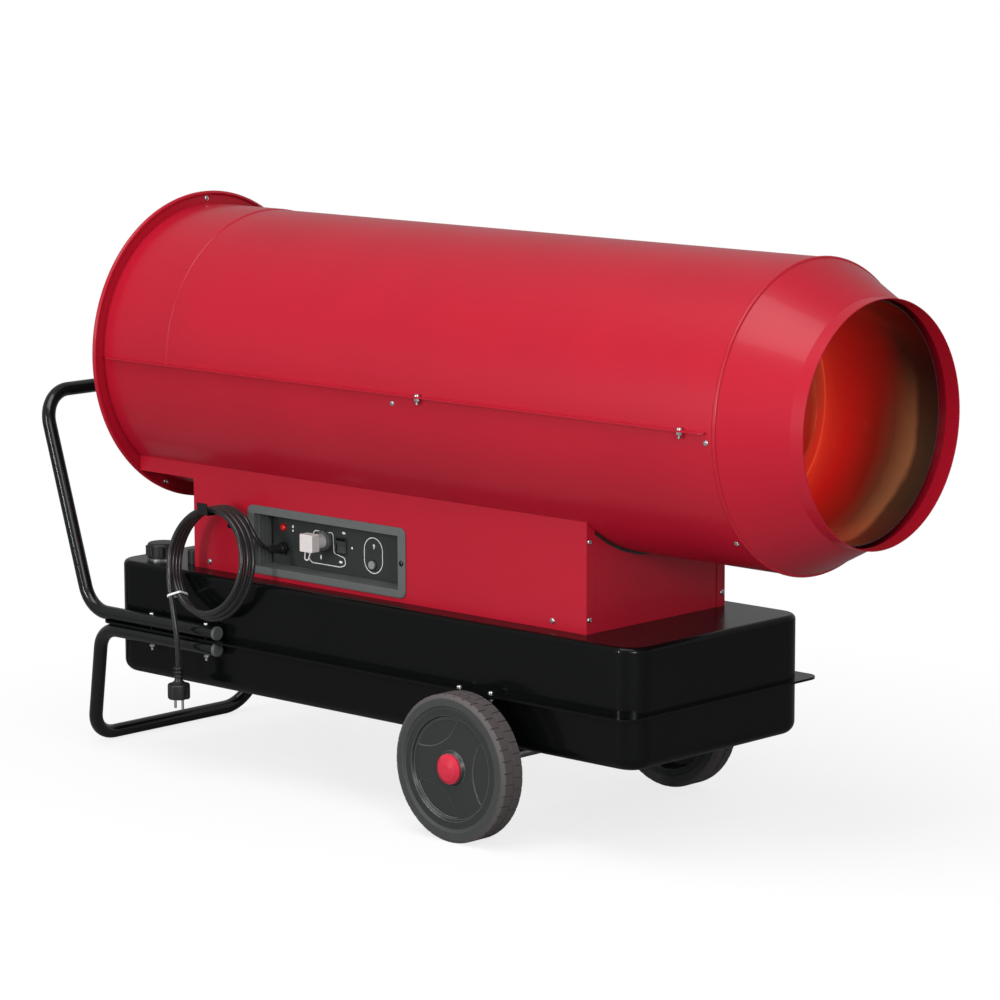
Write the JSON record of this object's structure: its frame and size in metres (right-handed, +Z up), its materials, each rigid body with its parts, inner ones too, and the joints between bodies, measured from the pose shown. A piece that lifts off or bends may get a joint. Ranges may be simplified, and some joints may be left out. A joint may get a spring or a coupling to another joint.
{
  "type": "forced air heater",
  "caption": "Wheeled direct-fired heater: a horizontal barrel with a fan and burner over a fuel tank, with a push handle, a rear leg and a coiled mains cord.",
  "frame": {"origin": "on the floor, below the middle of the object without its cord", "axes": "+X along the barrel towards the hot outlet, +Z up, the control panel and the cord on the -Y side"},
  "size_m": [1.758, 0.614, 1.0105],
  "materials": {
    "red_paint": "gloss powder coat",
    "black_paint": "semi-gloss powder coat",
    "stainless_steel": "heat-tinted sheet",
    "galvanised_steel": "zinc plated",
    "guard_wire": "bright zinc",
    "motor_paint": "satin",
    "cast_aluminium": "as cast",
    "brass": "turned",
    "copper": "drawn tube",
    "filter_plastic": "moulded bowl",
    "ceramic": "glazed",
    "grey_plastic": "fine moulded grain",
    "black_plastic": "fine moulded grain",
    "wheel_plastic": "moulded",
    "tyre_rubber": "moulded tread",
    "red_plastic": "moulded",
    "light_plastic": "moulded",
    "rubber": "extruded",
    "nylon": "moulded strap"
  },
  "bodies": {
    "heater": {"upper_cover": "red_paint", "lower_shell": "red_paint", "inlet_ring": "red_paint", "outlet_cone": "red_paint", "base_side_near": "red_paint", "base_side_far": "red_paint", "base_front": "red_paint", "base_rear": "red_paint", "tank_lower": "black_paint", "tank_upper": "black_paint", "push_handle": "black_paint", "support_leg": "black_paint", "axle_brackets": "black_paint", "cord_hook": "black_paint", "control_plate": "black_paint", "combustion_chamber": "stainless_steel", "flame_baffle": "stainless_steel", "burner_head": "galvanised_steel", "motor_bracket": "galvanised_steel", "filler_neck": "galvanised_steel", "axle": "galvanised_steel", "bolts_and_nuts": "galvanised_steel", "panel_screws": "galvanised_steel", "inlet_guard": "guard_wire", "motor_body": "motor_paint", "fuel_pump": "cast_aluminium", "nozzle_line": "brass", "fuel_pipes": "copper", "fuel_filter": "filter_plastic", "ignition_electrodes": "ceramic", "control_bezel": "grey_plastic", "thermostat_socket": "grey_plastic", "tube_end_caps": "grey_plastic", "fuel_gauge": "black_plastic", "cord_gland": "black_plastic", "switch_housing": "black_plastic", "reset_collar": "black_plastic", "control_box": "black_plastic", "ignition_transformer": "black_plastic", "mains_plug": "black_plastic", "near_cap": "red_plastic", "far_cap": "red_plastic", "lamp": "red_plastic", "supply_lead": "rubber", "cord_coil": "rubber", "plug_lead": "rubber", "cutout_trim": "rubber", "cord_tie": "nylon"},
    "near_wheel": {"near_tyre": "tyre_rubber", "near_hub": "wheel_plastic"},
    "far_wheel": {"far_tyre": "tyre_rubber", "far_hub": "wheel_plastic"},
    "fan": {"fan_impeller": "cast_aluminium", "motor_shaft": "galvanised_steel"},
    "rocker": {"rocker": "black_plastic"},
    "reset_button": {"reset_button": "grey_plastic"},
    "thermostat_plug": {"thermostat_plug": "light_plastic"},
    "cap_seal": {"cap_seal": "rubber"},
    "filler_cap": {"filler_cap": "black_plastic"},
    "gauge_float": {"gauge_float": "black_plastic"}
  },
  "joints": [
    {"name": "near_wheel_spin", "type": "hinge", "parent": "heater", "child": "near_wheel", "pos_m": [0.217, -0.274, 0.125], "axis": [0, 1, 0], "continuous": true},
    {"name": "far_wheel_spin", "type": "hinge", "parent": "heater", "child": "far_wheel", "pos_m": [0.217, 0.274, 0.125], "axis": [0, 1, 0], "continuous": true},
    {"name": "fan_spin", "type": "hinge", "parent": "heater", "child": "fan", "pos_m": [-0.585, 0, 0.731], "axis": [1, 0, 0], "continuous": true},
    {"name": "switch_rock", "type": "hinge", "parent": "heater", "child": "rocker", "pos_m": [-0.194, -0.131, 0.429], "axis": [1, 0, 0], "range_deg": [-16, 0]},
    {"name": "reset_press", "type": "slide", "parent": "heater", "child": "reset_button", "axis": [0, 1, 0], "range_m": [0, 0.003], "stiffness_N_per_m": 400, "springref_m": -0.002},
    {"name": "thermostat_pull", "type": "slide", "parent": "heater", "child": "thermostat_plug", "axis": [0, -1, 0], "range_m": [0, 0.03]},
    {"name": "cap_lift", "type": "slide", "parent": "heater", "child": "cap_seal", "axis": [0, 0, 1], "range_m": [0, 0.0081]},
    {"name": "cap_turn", "type": "hinge", "parent": "cap_seal", "child": "filler_cap", "pos_m": [-0.63, -0.16, 0.37], "axis": [0, 0, 1], "range_deg": [0, 720]},
    {"name": "float_rise", "type": "slide", "parent": "heater", "child": "gauge_float", "axis": [0, 0, 1], "range_m": [0, 0.16]}
  ],
  "couplings": [
    {"joint": "cap_lift", "follows": "cap_turn", "m_per_rad": 0.0006366}
  ]
}
